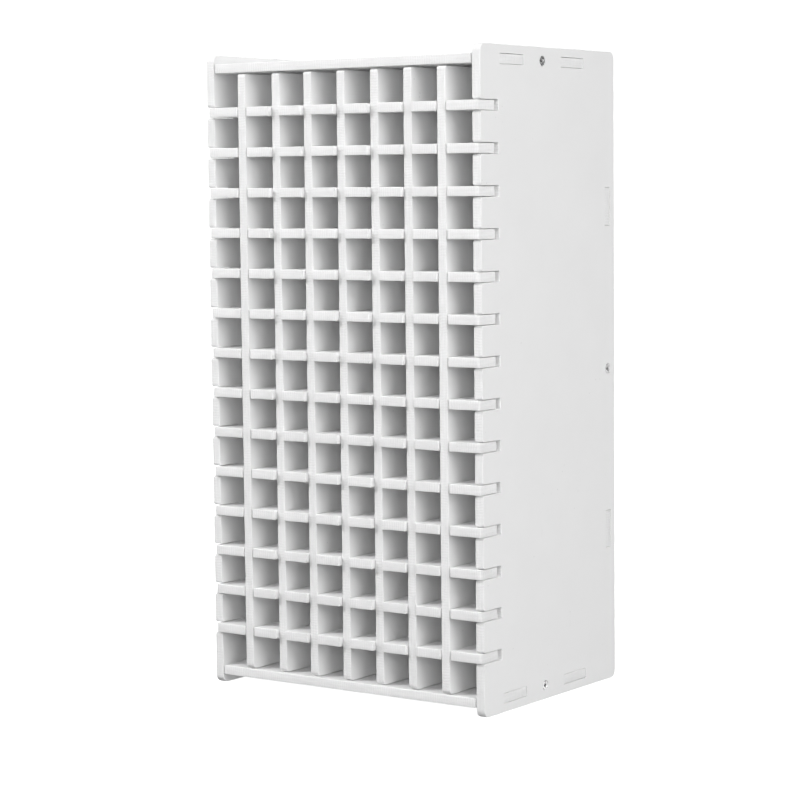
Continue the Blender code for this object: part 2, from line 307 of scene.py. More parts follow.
def rounded(corners):
    """A closed outline from (along, up, radius) corners. Each corner becomes an arc that is tangent to both
    of its sides: its centre lies on the bisector at radius over the sine of half the corner's angle, and
    the start radius is turned through what is left of a half turn. A corner of radius 0 keeps its point."""
    place, radius = corners[:, :2], corners[:, 2]
    back = np.roll(place, 1, axis=0) - place
    ahead = np.roll(place, -1, axis=0) - place
    back /= np.linalg.norm(back, axis=1, keepdims=True)
    ahead /= np.linalg.norm(ahead, axis=1, keepdims=True)
    half = np.arccos(np.clip((back * ahead).sum(axis=1), -1, 1)) / 2
    bisector = back + ahead
    bisector /= np.linalg.norm(bisector, axis=1, keepdims=True)
    centre = place + bisector * (radius / np.sin(half))[:, None]
    reach = (radius / np.tan(half))[:, None]
    start = place + back * reach - centre
    end = place + ahead * reach - centre
    way = np.sign(start[:, 0] * end[:, 1] - start[:, 1] * end[:, 0])
    steps = np.arange(ARC_STEPS + 1)
    turn = (way * (math.pi - 2 * half))[:, None] * steps / ARC_STEPS
    cosine, sine = np.cos(turn), np.sin(turn)
    across = start[:, :1] * cosine - start[:, 1:] * sine
    up = start[:, :1] * sine + start[:, 1:] * cosine
    points = centre[:, None, :] + np.stack([across, up], axis=-1)
    return points[(radius > 0)[:, None] | (steps == 0)]


def divided(points, spacing):
    """The closed outline with each side cut into equal stretches no longer than that side's spacing."""
    sides = np.roll(points, -1, axis=0) - points
    counts = np.maximum(1, np.ceil(np.linalg.norm(sides, axis=1) / spacing)).astype(int)
    side = np.repeat(np.arange(len(points)), counts)
    step = np.arange(counts.sum()) - np.repeat(np.cumsum(counts) - counts, counts)
    return points[side] + sides[side] * (step / counts[side])[:, None]


def spacing_along(points, front_column):
    """Fine spacing for the sides whose middle lies in the front zone, and coarse spacing for the rest."""
    if front_column is None:
        return np.full(len(points), COARSE_SPACING)
    place = (points + np.roll(points, -1, axis=0))[:, front_column] / 2
    return np.where(place < place.min() + FRONT_ZONE, FINE_SPACING, COARSE_SPACING)


def turned_one_way(points, clockwise):
    """The outline in the order asked for, told by the sign of its area."""
    ahead = np.roll(points, -1, axis=0)
    area = (points[:, 0] * ahead[:, 1] - points[:, 1] * ahead[:, 0]).sum()
    return points[::-1] if (area < 0) != clockwise else points


def outward(points):
    """The direction and length at each point that moves both of its sides away from the board by one: the
    sum of the two sides' normals over one plus their dot product."""
    side = np.roll(points, -1, axis=0) - points
    normal = np.stack([side[:, 1], -side[:, 0]], axis=1)
    normal /= np.linalg.norm(normal, axis=1, keepdims=True)
    before = np.roll(normal, 1, axis=0)
    return (before + normal) / (1 + (before * normal).sum(axis=1))[:, None]


def run_of(points):
    """Distance along the closed outline at each point, and its whole length."""
    sides = np.linalg.norm(np.roll(points, -1, axis=0) - points, axis=1)
    return np.concatenate([[0], np.cumsum(sides)[:-1]]), sides.sum()


def wander(run, total, pitch, draws, waves=5):
    """A closed wavering from -1 to 1: the mean of sines whose whole wave counts lie near total over pitch."""
    counts = np.maximum(1, np.round(total / pitch * draws.uniform(0.75, 1.3, waves)))
    phases = draws.uniform(0, 2 * math.pi, waves)
    return np.sin(2 * math.pi * run[:, None] / total * counts + phases).mean(axis=1)


# Surfaces


class Rim:
    """One closed edge of a board: points on a grid, path stations by stations through the thickness."""

    def __init__(self, path, offsets, heights, arris):
        self.path = path
        self.offsets = offsets
        self.heights = heights
        self.arris = np.broadcast_to(arris, heights.shape)
        self.run, self.total = run_of(path)

    def grid(self):
        """Each path point is moved along its outward direction by the offset, at the height in the board."""
        plan = self.path[:, None, :] + outward(self.path)[:, None, :] * self.offsets[..., None]
        return np.concatenate([plan, self.heights[..., None]], axis=-1)


def room_near(path, corners):
    """How far each point may move inwards before the two sides of a corner would cross: a share of its
    distance from the nearest corner, and at the corner itself the same share of that corner's radius."""
    away = np.linalg.norm(path[:, None, :] - corners[None, :, :2], axis=-1)
    return CORNER_SHARE * np.maximum(away, corners[:, 2]).min(axis=1)


def routed_rim(corners, cutting, draws, arris, front_column=None, clockwise=False):
    """A cut edge. Its profile is a straight side between two quarter rounds whose radius wavers with the
    cutter's marks and stays within its room, and the whole edge wanders slightly inwards of its line."""
    outline = turned_one_way(rounded(corners), clockwise)
    path = divided(outline, spacing_along(outline, front_column))
    run, total = run_of(path)
    half = board_thickness() / 2
    inwards = cutting.drift * (1 + wander(run, total, cutting.drift_pitch, draws)) / 2
    room = np.maximum(room_near(path, corners) - inwards, LEAST_ARRIS)
    phase = np.linspace(0, math.pi / 2, QUARTER_STEPS + 1)
    offsets, heights = [], []
    for face in (-1, 1):
        marks = wander(run, total, cutting.chatter_pitch, draws)
        slow = wander(run, total, cutting.drift_pitch, draws)
        radius = np.minimum(arris * (1 + cutting.chatter * (marks + slow)), room)
        turn = phase if face < 0 else phase[::-1]
        offsets.append(-radius[:, None] * (1 - np.sin(turn)) - inwards[:, None])
        heights.append(face * (half - radius[:, None] * (1 - np.cos(turn))))
    weight = np.sin(2 * phase)
    return Rim(
        path,
        np.concatenate(offsets, axis=1),
        np.concatenate(heights, axis=1),
        np.concatenate([weight, weight[::-1]]),
    )


def countersunk_rim(place, side, screws, head_radius, sunk):
    """A screw hole: a circle whose radius is the clearance hole's, then opens in a cone to the head's radius
    at the outer face."""
    half = board_thickness() / 2
    inner = screws.core + screws.thread_height + screws.hole_play
    outer = head_radius + screws.hole_play
    depth = np.array([2 * half, sunk + screws.head_depth + screws.hole_play, sunk + screws.rim, 0.0])
    widening = np.array([0.0, 0.0, outer - inner, outer - inner + screws.rim / 2])
    turn = -2 * math.pi * np.arange(HOLE_STEPS) / HOLE_STEPS
    path = np.array(place) + inner * np.stack([np.cos(turn), np.sin(turn)], axis=1)
    heights = side * (half - depth)
    order = np.argsort(heights)
    shape = (HOLE_STEPS, len(depth))
    offsets = np.broadcast_to(-widening[order], shape)
    return Rim(path, offsets, np.broadcast_to(heights[order], shape), np.zeros(len(depth)))


def rim_faces(first, rows, columns):
    """Four-sided faces of a grid that closes on itself along its rows, wound to face outwards."""
    row = np.arange(rows)[:, None]
    column = np.arange(columns - 1)[None, :]
    here = first + row * columns + column
    ahead = first + (row + 1) % rows * columns + column
    return np.stack([here, ahead, ahead + 1, here + 1], axis=-1).reshape(-1, 4)


def rim_map(rim):
    """Map coordinates of a rim's faces in metres: distance along the cut, and height in the board."""
    ahead = np.append(rim.run[1:], rim.total)
    along = np.stack([rim.run, ahead, ahead, rim.run], axis=-1)[:, None, :]
    low, high = rim.heights[:, :-1], rim.heights[:, 1:]
    up = np.stack([low, low, high, high], axis=-1)
    return np.stack([np.broadcast_to(along, up.shape), up], axis=-1).reshape(-1, 2)


def flat_faces(loops, indices, facing):
    """Triangles between plane loops, the first being the outline and the others its holes, all wound so
    that they face up (facing 1) or down (facing -1). The division can lose slivers along sides that are
    level with its own axes, so it is tried at one slant after another until its count is right: the points
    and two for each hole, less two."""
    wanted = sum(map(len, loops)) + 2 * (len(loops) - 1) - 2
    for slant in SLANTS:
        turn = np.array([[math.cos(slant), math.sin(slant)], [-math.sin(slant), math.cos(slant)]])
        plans = [[Vector((*point, 0.0)) for point in loop @ turn * MILLIMETRES] for loop in loops]
        corners = np.array(tessellate_polygon(plans))
        if len(corners) == wanted:
            break
    plan = np.concatenate(loops)[corners]
    one, two = plan[:, 1] - plan[:, 0], plan[:, 2] - plan[:, 0]
    if (one[:, 0] * two[:, 1] - one[:, 1] * two[:, 0]).sum() * facing < 0:
        corners = corners[:, ::-1]
    return np.concatenate(indices)[corners]


def make_board(name, rims, axes, level, finishes, tone):
    """A board from its rims: the outline first and then its holes. Grids of four-sided faces make the rims,
    and triangles between the grids' first and last columns make the two flat faces."""
    grids = [rim.grid() for rim in rims]
    counts = [grid.shape[0] * grid.shape[1] for grid in grids]
    firsts = np.cumsum([0] + counts[:-1])
    numbers = [
        (first + np.arange(count)).reshape(grid.shape[:2])
        for first, count, grid in zip(firsts, counts, grids)
    ]
    plan = np.concatenate([grid.reshape(-1, 3) for grid in grids])
    points = np.empty_like(plan)
    points[:, axes] = plan
    points[:, axes[2]] += level
    quads = np.concatenate([rim_faces(first, *grid.shape[:2]) for first, grid in zip(firsts, grids)])
    flats = np.concatenate([
        flat_faces([grid[:, column, :2] for grid in grids], [number[:, column] for number in numbers], facing)
        for column, facing in ((0, -1), (-1, 1))
    ])
    mesh = bpy.data.meshes.new(name)
    mesh.from_pydata(points.tolist(), [], quads.tolist() + flats.tolist())
    for finish in finishes:
        mesh.materials.append(finish)
    rim_marks = np.arange(len(mesh.polygons)) < len(quads)
    mesh.polygons.foreach_set("material_index", rim_marks.astype(np.int32))
    places = np.concatenate([*map(rim_map, rims), plan[flats.reshape(-1), :2]])
    mesh.uv_layers.new(name="cut").data.foreach_set("uv", places.astype(np.float32).ravel())
    write_values(mesh, "arris", np.concatenate([rim.arris.reshape(-1) for rim in rims]))
    write_values(mesh, "tone", np.full(len(points), tone))
    mesh.set_sharp_from_angle(angle=BOARD_CREASE)  # this marks every face smooth
    mesh.polygons.foreach_set("use_smooth", rim_marks)
    return placed(name, mesh)


def write_values(mesh, name, values):
    """Keeps one number for each vertex."""
    attribute = mesh.attributes.new(name, "FLOAT", "POINT")
    attribute.data.foreach_set("value", values.astype(np.float32))


def placed(name, mesh):
    """A scene object for the mesh. Its place is in the mesh."""
    mesh.update()
    obj = bpy.data.objects.new(name, mesh)
    bpy.context.scene.collection.objects.link(obj)
    return obj


def stand_for(piece, node):
    """The piece rides on the rack and is shown in place of the CAD node."""
    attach(piece, BODY)
    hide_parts(node)


def cut_board(node, rims, axes, tone):
    """A board from its rims, halfway through its node's thickness and in that node's place."""
    piece = make_board(f"routed_{node}", rims, axes, middle(node, axes[2]), shared_finishes(), tone)
    stand_for(piece, node)


def cut_combs(scene, nodes, first_draws, corners_of, axes, front_column):
    """A row of like boards with slots, each from its own corners and its own random draws."""
    cutting = scene.rack_cutting
    for number, node in enumerate(nodes):
        draws = np.random.default_rng([cutting.seed, first_draws + number])
        corners = corners_of(node, scene.rack_joinery)
        rims = [routed_rim(corners, cutting, draws, cutting.arris, front_column)]
        cut_board(node, rims, axes, draws.uniform(0.0, 1.0))


def box_corners(low, high, radius):
    """Corners of a rectangle with one rounding."""
    (u0, v0), (u1, v1) = low, high
    return np.array([(u0, v0, radius), (u1, v0, radius), (u1, v1, radius), (u0, v1, radius)])


def mortise_corners(joinery):
    """The six mortises of a side panel, as outlines in Y and Z."""
    half = board_thickness() / 2 + joinery.tab_play
    tab = joinery.tab_length / 2 + joinery.tab_play
    back_tab = joinery.back_tab_length / 2 + joinery.tab_play
    found = []
    for sign in (-1, 1):
        for board in ("bottom", "top"):
            y, z = screw_place(board)
            y += sign * joinery.tab_spread
            found.append(box_corners((y - tab, z - half), (y + tab, z + half), joinery.inner_radius))
        y, z = screw_place("back")
        z += sign * joinery.back_tab_spread
        low, high = (y - half, z - back_tab), (y + half, z + back_tab)
        found.append(box_corners(low, high, joinery.inner_radius))
    return found


def side_panel_corners(joinery):
    """A side panel in Y and Z, from its foot round the rear to the slotted front edge."""
    front, rear = span("right_side_panel", 1)
    low, high = span("right_side_panel", 2)
    half = board_thickness() / 2 + joinery.slot_play
    places = np.array([middle(node, 2) for node in reversed(SHELVES)])
    slots = notches(
        places, -half, front, front + joinery.panel_slot_depth, joinery.mouth_radius, joinery.inner_radius
    )
    radius = joinery.panel_radius
    around = np.array([(rear, low, radius), (rear, high, radius), (front, high, radius)])
    foot = np.array([(front, low, radius)])
    return np.concatenate([around, slots[:, [1, 0, 2]], foot])


def tabbed_corners(joinery, board, low, high, low_radius, place, spread, tab):
    """A board between the side panels, from low to high, with two tabs at each end."""
    edge = span("right_side_panel", 0)[0] - joinery.gap
    reach = span(board, 0)[1]
    middles = np.array([place - spread, place + spread])
    tabs = notches(middles, tab / 2, edge, reach, 0, 0)[:, [1, 0, 2]]
    right = np.concatenate([[(edge, low, low_radius)], tabs, [(edge, high, 0)]])
    left = right[::-1] * np.array([-1, 1, 1])
    return np.concatenate([right, left])


def shelf_corners(node, joinery):
    """A shelf in X and Y: ears at both ends, and a slot open to the front for each divider."""
    left, right = span(node, 0)
    front, rear = span(node, 1)
    body = span("right_side_panel", 0)[0] - joinery.gap
    half = board_thickness() / 2 + (joinery.slot_play + joinery.divider_play) / 2
    shift = (joinery.divider_play - joinery.slot_play) / 2
    places = np.array([middle(divider, 0) for divider in DIVIDERS]) + shift
    slots = notches(
        places, half, front, front + joinery.shelf_slot_depth, joinery.tooth_radius, joinery.inner_radius
    )
    ear = front + joinery.ear_depth
    right_end = [
        (right, front, joinery.mouth_radius),
        (right, ear, joinery.inner_radius),
        (body, ear, joinery.inner_radius),
        (body, rear, 0),
    ]
    left_end = [
        (-body, rear, 0),
        (-body, ear, joinery.inner_radius),
        (left, ear, joinery.inner_radius),
        (left, front, joinery.mouth_radius),
    ]
    return np.concatenate([slots, right_end, left_end])


def divider_corners(node, joinery):
    """A divider in Y and Z: an unbroken front edge, and slots open to the rear that lap over the shelves."""
    front, rear = span(node, 1)
    low, high = span(node, 2)
    half = board_thickness() / 2 + joinery.slot_play
    places = np.array([middle(shelf, 2) for shelf in SHELVES])
    slots = notches(places, half, rear, front + joinery.divider_solid, 0, joinery.inner_radius)
    ends = [
        (rear, high, 0),
        (front, high, joinery.divider_top_radius),
        (front, low, joinery.divider_foot_radius),
        (rear, low, 0),
    ]
    return np.concatenate([slots[:, [1, 0, 2]], ends])


# Screws


def screw_stations(screws, head, sunk, end):
    """Depth and radius along a screw, from the middle of its head to its point, as two arrays, and how many
    of them lie on the head's flat. The point's radius is the core's times a power of what is left of it."""
    recess = np.linspace(0, screws.recess_span / 2 * RECESS_MARGIN, RECESS_RINGS + 1)[1:]
    top = np.concatenate([recess, np.linspace(EDGE_START, 1, EDGE_RINGS) * head])
    cone_end = sunk + screws.head_depth
    shank = np.arange(cone_end, end, screws.thread_pitch / RINGS_PER_TURN)[1:]
    left = np.clip((end - shank) / screws.point, 0, 1)
    radius = np.concatenate([top, [head, screws.core], screws.core * left**POINT_SHAPE])
    depth = np.concatenate([np.full(len(top), sunk), [sunk + screws.rim, cone_end], shank])
    return depth, radius, len(top)


def cross_recess(along, up, screws):
    """How deep the cross recess is, from 0 to 1: a ramp from the edge of the nearer arm to its middle, times
    a ramp from the arms' ends."""
    near, far = np.minimum(abs(along), abs(up)), np.maximum(abs(along), abs(up))
    wall = screws.recess_width / 4
    across = np.clip((screws.recess_width / 2 - near) / wall, 0, 1)
    ends = np.clip((screws.recess_span / 2 - far) / (RECESS_END_SLOPE * wall), 0, 1)
    return across * ends


def make_screw(name, node, side, screws, draws, finish):
    """A screw turned about X: radius is a function of depth and angle. The head's flat carries a cross
    recess, and the shank a thread whose ridge follows depth over pitch less angle over a turn."""
    low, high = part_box(node)
    head = (high.z - low.z) / 2
    outer_x = side * cad_high.x
    sunk = min(abs(outer_x - low.x), abs(outer_x - high.x))
    end = max(abs(outer_x - low.x), abs(outer_x - high.x))
    depth, radius, flat = screw_stations(screws, head, sunk, end)
    turn = 2 * math.pi * np.arange(SCREW_STEPS) / SCREW_STEPS
    ridge_phase = depth[:, None] / screws.thread_pitch - turn / (2 * math.pi)
    ridge = np.clip(1 - RIDGE_STEEPNESS * abs(ridge_phase % 1 - 0.5), 0, 1)
    shank = np.clip((depth - sunk - screws.head_depth) / screws.thread_pitch, 0, 1)
    shank *= np.clip((end - depth) / screws.point, 0, 1)
    rings = radius[:, None] + screws.thread_height * shank[:, None] * ridge
    twist = draws.uniform(0, math.pi / 2)
    sunk_in = cross_recess(rings * np.cos(turn + twist), rings * np.sin(turn + twist), screws)
    sunk_in[flat:] = 0
    deep = depth[:, None] + screws.recess_depth * sunk_in
    places = [-side * deep, side * rings * np.cos(turn), rings * np.sin(turn)]
    local = np.stack(places, axis=-1).reshape(-1, 3)
    ends = np.array([(-side * (sunk + screws.recess_depth), 0, 0), (-side * end, 0, 0)])
    points = np.concatenate([local, ends]) + np.array([outer_x, middle(node, 1), middle(node, 2)])
    grid = np.arange(rings.size).reshape(rings.shape)
    ahead = np.roll(grid, -1, axis=1)
    quads = np.stack([grid[:-1], grid[1:], ahead[1:], ahead[:-1]], axis=-1).reshape(-1, 4)
    first, last = np.full(SCREW_STEPS, rings.size), np.full(SCREW_STEPS, rings.size + 1)
    caps = np.concatenate([
        np.stack([first, grid[0], ahead[0]], axis=-1),
        np.stack([last, ahead[-1], grid[-1]], axis=-1),
    ])
    mesh = bpy.data.meshes.new(name)
    mesh.from_pydata(points.tolist(), [], quads.tolist() + caps.tolist())
    mesh.materials.append(finish)
    write_values(mesh, "hollow", np.append(sunk_in.ravel(), (1.0, 0.0)))
    mesh.shade_smooth()
    mesh.set_sharp_from_angle(angle=SCREW_CREASE)
    return placed(name, mesh)


# Materials


class Wire:
    """One output of a material's nodes. An expression on wires and numbers adds its Math nodes."""

    def __init__(self, paint, socket):
        self.paint = paint
        self.socket = socket

    def maths(self, operation, first, second=0.0):
        """The result of a Math node on wires or numbers."""
        return self.paint.node("ShaderNodeMath", {"operation": operation}, {0: first, 1: second})

    def __add__(self, other):
        return self.maths("ADD", self, other)

    def __sub__(self, other):
        return self.maths("SUBTRACT", self, other)

    def __rsub__(self, other):
        return self.maths("SUBTRACT", other, self)

    def __mul__(self, other):
        return self.maths("MULTIPLY", self, other)

    __radd__ = __add__
    __rmul__ = __mul__

    def wave(self):
        """Sine of the wire, from 0 to 1."""
        return self.maths("SINE", self) * 0.5 + 0.5

    def ramp(self, low, high):
        """0 below low, 1 above high, and smooth between."""
        settings = {"interpolation_type": "SMOOTHSTEP"}
        return self.paint.node("ShaderNodeMapRange", settings, {"Value": self, 1: low, 2: high})


class Paint:
    """A Principled material and the nodes that feed it."""

    def __init__(self, name):
        self.material = bpy.data.materials.new(name)
        self.material.use_nodes = True
        self.tree = self.material.node_tree
        self.shader = self.tree.nodes["Principled BSDF"]

    def node(self, kind, settings, inputs, output=0):
        """Adds a node, sets what it is, then its sockets' values or links, and gives one of its outputs."""
        made = self.tree.nodes.new(kind)
        for key, value in settings.items():
            setattr(made, key, value)
        for key, value in inputs.items():
            self.feed(made.inputs[key], value)
        return Wire(self, made.outputs[output])

    def feed(self, socket, value):
        """Links a wire to a socket, or sets its value."""
        if isinstance(value, Wire):
            self.tree.links.new(value.socket, socket)
        elif socket.type == "RGBA":
            socket.default_value = (*value, 1.0)
        else:
            socket.default_value = value

    def own(self, name):
        """A number kept on the mesh."""
        return self.node("ShaderNodeAttribute", {"attribute_name": name}, {}, "Fac")

    def places(self):
        """Where a point is on the rack, in metres."""
        return self.node("ShaderNodeTexCoord", {}, {}, "Object")

    def cut_places(self):
        """Distance along the cut and height in the board, in metres."""
        return self.node("ShaderNodeUVMap", {"uv_map": "cut"}, {}, "UV")

    def scaled(self, places, scale):
        """The places stretched by a scale for each axis."""
        return self.node("ShaderNodeVectorMath", {"operation": "MULTIPLY"}, {0: places, 1: scale})

    def noise(self, places, size, detail=3.0, roughness=0.5):
        """Noise whose features have about the given size in metres."""
        inputs = {"Vector": places, "Scale": 1 / size, "Detail": detail, "Roughness": roughness}
        return self.node("ShaderNodeTexNoise", {}, inputs, "Fac")

    def cells(self, places, size):
        """Distance to the nearest cell's middle, as a share of the cell's size."""
        return self.node("ShaderNodeTexVoronoi", {}, {"Vector": places, "Scale": 1 / size}, "Distance")

    def mixed(self, factor, first, second):
        """One colour turning into another."""
        factor_socket, first_socket, second_socket, result = 0, 6, 7, 2  # the colour sockets of a Mix node
        inputs = {factor_socket: factor, first_socket: first, second_socket: second}
        return self.node("ShaderNodeMix", {"data_type": "RGBA"}, inputs, result)

    def relief(self, height, depth):
        """A normal from a height of 0 to 1 that stands for the given depth in metres."""
        inputs = {"Strength": 1.0, "Distance": depth, "Height": height}
        return self.node("ShaderNodeBump", {}, inputs, "Normal")

    def finish(self, colour_wire, roughness, normal, metallic=0.0):
        """Feeds the shader's main sockets and gives the material."""
        self.feed(self.shader.inputs["Base Color"], colour_wire)
        self.feed(self.shader.inputs["Roughness"], roughness)
        self.feed(self.shader.inputs["Normal"], normal)
        self.feed(self.shader.inputs["Metallic"], metallic)
        return self.material


def skin_finish(finish):
    """The board's skin: closed foam with a faint orange peel, soft clouds of tone, scuffs and specks."""
    paint = Paint("foam board skin")
    places = paint.places()
    clouds = paint.noise(places, SKIN_CLOUDS)
    peel = paint.noise(places, SKIN_PEEL, 2.0)
    grain = paint.noise(places, SKIN_GRAIN, 2.0)
    drawn = paint.scaled(places, (1.0, 0.16, 0.045))
    scuffs = paint.noise(drawn, SKIN_SCUFFS, 4.0, 0.62).ramp(0.66, 0.80)
    worn = paint.noise(places, WORN_AREAS, 2.0).ramp(0.50, 0.68)
    specks = 1 - paint.cells(places, SPECK_SPACING).ramp(0.045, 0.085)
    tone = clouds * 0.55 + grain * 0.25 + paint.own("tone") * 0.45
    board = paint.mixed(tone.ramp(0.25, 0.95), finish.skin_dark, finish.skin_light)
    marked = paint.mixed(scuffs * worn * 0.28 + specks * worn * 0.45, board, finish.dust)
    roughness = clouds * 0.10 + grain * 0.10 + scuffs * worn * 0.15 + (finish.skin_roughness - 0.12)
    height = peel * 0.45 + grain * 0.25 + clouds * 0.6 - scuffs * worn * 0.30
    return paint.finish(marked, roughness, paint.relief(height, SKIN_RELIEF))


def core_finish(finish):
    """The cut foam: fine open cells darkened by painted shade in their pits, marks of the cutter across the
    edge, drag lines along it, and arrises whose cells are closed and which a painted highlight brightens."""
    paint = Paint("cut foam")
    places, cut = paint.places(), paint.cut_places()
    cutting = bpy.context.scene.rack_cutting
    open_cells = 1 - paint.cells(places, finish.cell_size).ramp(0.10, 0.42)
    burst = open_cells * paint.noise(places, FOAM_BURSTS, 2.0).ramp(0.44, 0.62)
    fine = paint.noise(places, FOAM_GRAIN, 2.0)
    pull = paint.noise(paint.scaled(cut, (0.06, 1.0, 1.0)), FOAM_PULL, 4.0, 0.62)
    shift = paint.noise(places, MARK_SHIFT, 2.0) * 9.0
    along = paint.scaled(cut, (2 * math.pi / cutting.chatter_pitch, 0.0, 0.0))
    marks = (paint.node("ShaderNodeSeparateXYZ", {}, {0: along}, "X") + shift).wave()
    marks = marks * paint.noise(places, MARK_PATCHES, 2.0).ramp(0.35, 0.65)
    # The arris weight lifts the tone of the rounded arrises towards the light core colour as a painted
    # highlight, and closes their open cells.
    arris = paint.own("arris")
    closed = 1 - arris * 0.75
    tone = fine * 0.30 + pull * 0.90 + marks * 0.25 + paint.own("tone") * 0.22 + arris * 0.25
    # Open cells take the dark core colour as painted shade in the pits, and the arrises keep less of it.
    foam = paint.mixed(burst * closed * 0.80, finish.core_light, finish.core_pit_shade)
    shade = paint.mixed(tone.ramp(0.50, 1.10), finish.core_worn, finish.core_light)
    mixed = paint.mixed(0.5, foam, shade)
    roughness = fine * 0.10 + burst * 0.10 + (finish.core_roughness - 0.10) - arris * 0.16
    height = fine * 0.30 + pull * 0.55 + marks * 0.70 - burst * closed * 0.9
    return paint.finish(mixed, roughness, paint.relief(height, FOAM_RELIEF))


def steel_finish(finish):
    """Zinc plate: dull and bright patches, fine scratches, and a dark colour in the cross recess that is dirt
    with painted shade.
    """
    paint = Paint("zinc plated steel")
    places = paint.places()
    patches = paint.noise(places, PLATE_PATCHES)
    grain = paint.noise(places, PLATE_GRAIN, 2.0)
    drawn = paint.scaled(places, (1.0, 0.10, 1.0))
    scratches = paint.noise(drawn, PLATE_SCRATCHES, 2.0).ramp(0.58, 0.72)
    hollow = paint.own("hollow")
    plate = paint.mixed(patches.ramp(0.35, 0.65), finish.steel_dark, finish.steel_light)
    # The cross recess takes the dark recess colour by its depth: dirt with painted shade.
    colour_wire = paint.mixed(hollow * 0.75, plate, finish.recess_grime_and_shade)
    roughness = patches * 0.18 + grain * 0.08 + hollow * 0.25 + scratches * 0.08
    roughness = roughness + (finish.steel_roughness - 0.14)
    height = grain * 0.5 - scratches * 0.6
    metallic = 1 - hollow * 0.55
    return paint.finish(colour_wire, roughness, paint.relief(height, PLATE_RELIEF), metallic)


def floor_finish(stage):
    """Pale paper: almost even, with the faintest mottling. Far from the rack, where less light falls on it,
    it gives more light by itself, so that it stays even."""
    paint = Paint("pale floor")
    places = paint.places()
    mottle = paint.noise(places, FLOOR_MOTTLE, 2.0) * 0.02
    tone = paint.mixed(mottle, stage.floor_tone, (0.80, 0.80, 0.80))
    distance = paint.node("ShaderNodeVectorMath", {"operation": "LENGTH"}, {0: places}, "Value")
    glow = paint.mixed(distance.ramp(FLOOR_NEAR, FLOOR_FAR), (stage.floor_glow,) * 3, (FLOOR_FAR_GLOW,) * 3)
    paint.feed(paint.shader.inputs["Emission Color"], glow)
    paint.shader.inputs["Emission Strength"].default_value = 1.0
    paint.feed(paint.shader.inputs["Specular IOR Level"], 0.0)
    height = paint.noise(places, FLOOR_GRAIN, 2.0)
    return paint.finish(tone, 0.9, paint.relief(height, FLOOR_RELIEF))


def shared_finishes():
    """The board's two finishes, made once: its skin and its cut edges."""
    finish = bpy.context.scene.rack_finish
    skin = bpy.data.materials.get("foam board skin") or skin_finish(finish)
    core = bpy.data.materials.get("cut foam") or core_finish(finish)
    return skin, core


# Operators


class RACK_OT_side_panels(bpy.types.Operator):
    """Cut the two side panels: slotted front edges, mortises and countersunk holes"""

    bl_idname = "rack.side_panels"
    bl_label = "Side panels"

    def execute(self, context):
        scene = context.scene
        joinery, cutting, screws = scene.rack_joinery, scene.rack_cutting, scene.rack_screws
        for word, side in SIDES:
            node = f"{word}_side_panel"
            draws = np.random.default_rng([cutting.seed, PANEL_DRAWS + side])
            corners = side_panel_corners(joinery)
            rims = [routed_rim(corners, cutting, draws, cutting.arris, front_column=0)]
            for mortise in mortise_corners(joinery):
                rims.append(routed_rim(mortise, cutting, draws, cutting.tight_arris, clockwise=True))
            for board in SCREWED_BOARDS:
                screw_low, screw_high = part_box(f"{board}_screw_{word}")
                head = (screw_high.z - screw_low.z) / 2
                sunk = cad_high.x - max(abs(screw_low.x), abs(screw_high.x))
                rims.append(countersunk_rim(screw_place(board), side, screws, head, sunk))
            cut_board(node, rims, UPRIGHT, draws.uniform(0.4, 0.7))
        return {"FINISHED"}


class RACK_OT_end_boards(bpy.types.Operator):
    """Cut the top and bottom boards, with their tabs"""

    bl_idname = "rack.end_boards"
    bl_label = "Top and bottom boards"

    def execute(self, context):
        scene = context.scene
        joinery, cutting = scene.rack_joinery, scene.rack_cutting
        for number, board in enumerate(("top", "bottom")):
            node = f"{board}_board"
            draws = np.random.default_rng([cutting.seed, END_BOARD_DRAWS + number])
            front, rear = span(node, 1)
            corners = tabbed_corners(
                joinery, node, front, rear, joinery.tooth_radius,
                screw_place(board)[0], joinery.tab_spread, joinery.tab_length,
            )
            rims = [routed_rim(corners, cutting, draws, cutting.arris, front_column=1)]
            cut_board(node, rims, LEVEL, draws.uniform(0.3, 0.7))
        return {"FINISHED"}


class RACK_OT_back_panel(bpy.types.Operator):
    """Cut the back panel, with its tabs"""

    bl_idname = "rack.back_panel"
    bl_label = "Back panel"

    def execute(self, context):
        scene = context.scene
        joinery, cutting = scene.rack_joinery, scene.rack_cutting
        node = "back_panel"
        draws = np.random.default_rng([cutting.seed, BACK_DRAWS])
        low, high = span(node, 2)
        corners = tabbed_corners(
            joinery, node, low, high, 0,
            screw_place("back")[1], joinery.back_tab_spread, joinery.back_tab_length,
        )
        rims = [routed_rim(corners[:, [1, 0, 2]], cutting, draws, cutting.arris)]
        cut_board(node, rims, FACING, 0.5)
        return {"FINISHED"}


class RACK_OT_shelves(bpy.types.Operator):
    """Cut the shelves, each with its ears and a comb of slots"""

    bl_idname = "rack.shelves"
    bl_label = "Shelves"

    def execute(self, context):
        cut_combs(context.scene, SHELVES, SHELF_DRAWS, shelf_corners, LEVEL, front_column=1)
        return {"FINISHED"}


class RACK_OT_dividers(bpy.types.Operator):
    """Cut the upright dividers, each with a comb of slots from the rear"""

    bl_idname = "rack.dividers"
    bl_label = "Dividers"

    def execute(self, context):
        cut_combs(context.scene, DIVIDERS, DIVIDER_DRAWS, divider_corners, UPRIGHT, front_column=0)
        return {"FINISHED"}


class RACK_OT_screws(bpy.types.Operator):
    """Turn the countersunk screws, with their threads and cross recesses"""

    bl_idname = "rack.screws"
    bl_label = "Screws"

    def execute(self, context):
        scene = context.scene
        screws = scene.rack_screws
        draws = np.random.default_rng([scene.rack_cutting.seed, SCREW_DRAWS])
        steel = steel_finish(scene.rack_finish)
        for board in SCREWED_BOARDS:
            for word, side in SIDES:
                node = f"{board}_screw_{word}"
                piece = make_screw(f"threaded_{node}", node, side, screws, draws, steel)
                stand_for(piece, node)
        return {"FINISHED"}


